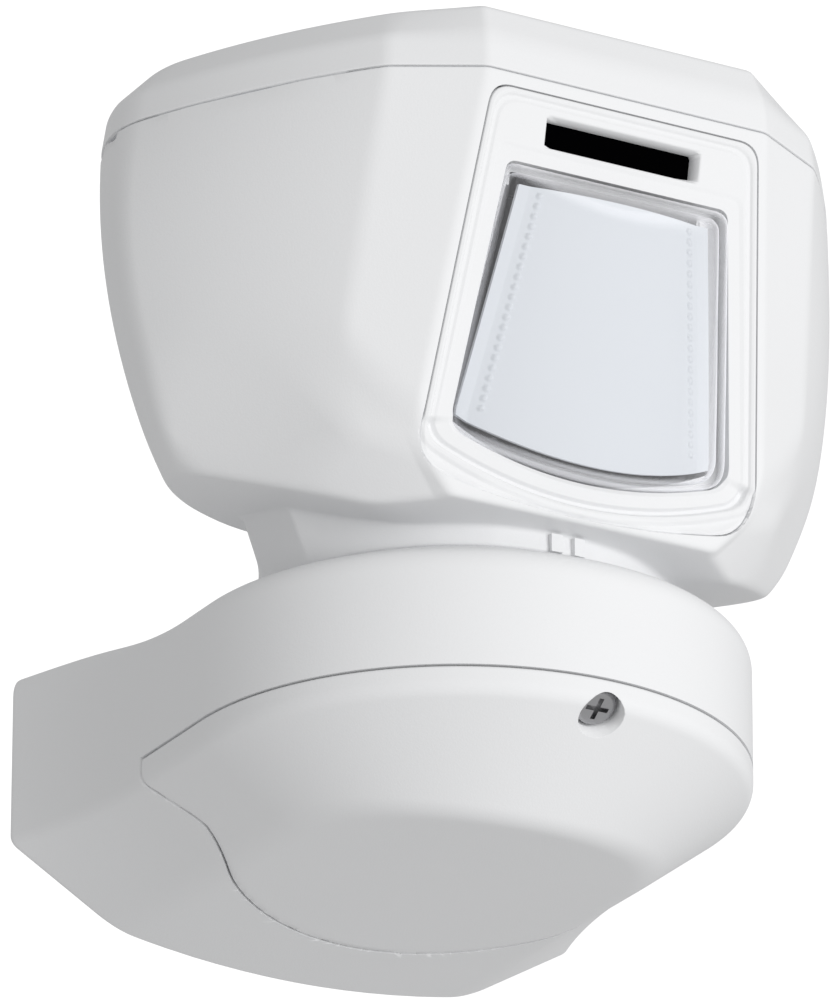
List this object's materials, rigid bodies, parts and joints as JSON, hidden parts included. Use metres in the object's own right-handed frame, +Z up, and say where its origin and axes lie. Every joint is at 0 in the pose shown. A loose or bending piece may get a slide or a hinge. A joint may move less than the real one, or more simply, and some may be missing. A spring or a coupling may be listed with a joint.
{
  "type": "motion sensor",
  "caption": "Faceted outdoor motion detector head with a clear convex window over a tilting lens, swivelling on a wall bracket.",
  "frame": {"origin": "middle of the bracket's flat back, on the wall", "axes": "+Z up, +Y into the wall, front of the detector towards -Y, +X to the detector's left"},
  "size_m": [0.147, 0.1241, 0.1437],
  "materials": {
    "shell_white": "fine satin",
    "inner_plastic": "matt",
    "dark_plastic": "matt",
    "black_window": "polished",
    "clear_window": "clear moulded polycarbonate",
    "lens_film": "milky polyethylene film",
    "grey_rubber": "matt",
    "steel": "turned",
    "spring_steel": "drawn wire",
    "board_green": "solder mask",
    "board_white": "white solder mask",
    "component_black": "moulded epoxy",
    "can_metal": "plated can",
    "mirror": "vacuum metallised",
    "terminal_grey": "matt",
    "led": "tinted epoxy",
    "cell_sleeve": "shrink sleeve",
    "contact_nickel": "nickel plate",
    "radio_metal": "tinned",
    "copper": "enamelled wire",
    "washer_white": "acetal"
  },
  "bodies": {
    "bracket": {"bracket_body": "shell_white", "wall_plate": "inner_plastic", "plate_screws": "steel", "cable_grommet": "grey_rubber", "terminal_block": "terminal_grey", "terminal_screws": "steel", "tamper_switch": "dark_plastic", "tamper_spring": "spring_steel", "detent_spring": "inner_plastic"},
    "lower_cover": {"lower_cover": "shell_white"},
    "cover_screw": {"cover_screw": "steel"},
    "bracket_plunger": {"tamper_plunger": "dark_plastic"},
    "head": {"head_housing": "shell_white", "friction_washer": "washer_white", "retaining_ring": "inner_plastic", "ring_screws": "steel", "rear_cover": "shell_white", "rear_screws": "steel", "cap_gasket": "grey_rubber", "bezel": "shell_white", "window_gasket": "grey_rubber", "window": "clear_window", "slot_window": "black_window", "pivot_pins": "steel", "main_board": "board_green", "board_parts": "component_black", "radio_module": "radio_metal", "aerial": "copper", "battery_holders": "dark_plastic", "battery_cells": "cell_sleeve", "battery_contacts": "contact_nickel", "cap_switch": "dark_plastic", "cap_spring": "spring_steel"},
    "cap": {"top_cap": "shell_white", "cap_screw": "steel"},
    "optics": {"lens_sheet": "lens_film", "optics_chassis": "dark_plastic", "mirror_block": "mirror", "sensor_board": "board_white", "pyro_sensors": "can_metal", "status_led": "led"},
    "head_plunger": {"cap_plunger": "dark_plastic"}
  },
  "joints": [
    {"name": "head_swivel", "type": "hinge", "parent": "bracket", "child": "head", "pos_m": [0, -0.062, 0.025], "axis": [0, 0, 1], "range_deg": [-45, 45]},
    {"name": "optics_tilt", "type": "hinge", "parent": "head", "child": "optics", "pos_m": [0, -0.11105, 0.09243], "axis": [1, 0, 0], "range_deg": [0, 10]},
    {"name": "cap_lift", "type": "slide", "parent": "head", "child": "cap", "axis": [0, 0, 1], "range_m": [0, 0.025]},
    {"name": "cover_off", "type": "slide", "parent": "bracket", "child": "lower_cover", "axis": [0, -0.5962, -0.8028], "range_m": [0, 0.03]},
    {"name": "screw_turn", "type": "hinge", "parent": "lower_cover", "child": "cover_screw", "pos_m": [0, -0.1125, -0.00936], "axis": [0, -0.5962, -0.8028], "continuous": true},
    {"name": "bracket_tamper", "type": "slide", "parent": "bracket", "child": "bracket_plunger", "axis": [0, 0, 1], "range_m": [0, 0.0015], "stiffness_N_per_m": 300, "springref_m": -0.001, "deforming": ["tamper_spring"]},
    {"name": "cap_tamper", "type": "slide", "parent": "head", "child": "head_plunger", "axis": [0, 0, -1], "range_m": [0, 0.0015], "stiffness_N_per_m": 300, "springref_m": -0.001, "deforming": ["cap_spring"]}
  ]
}
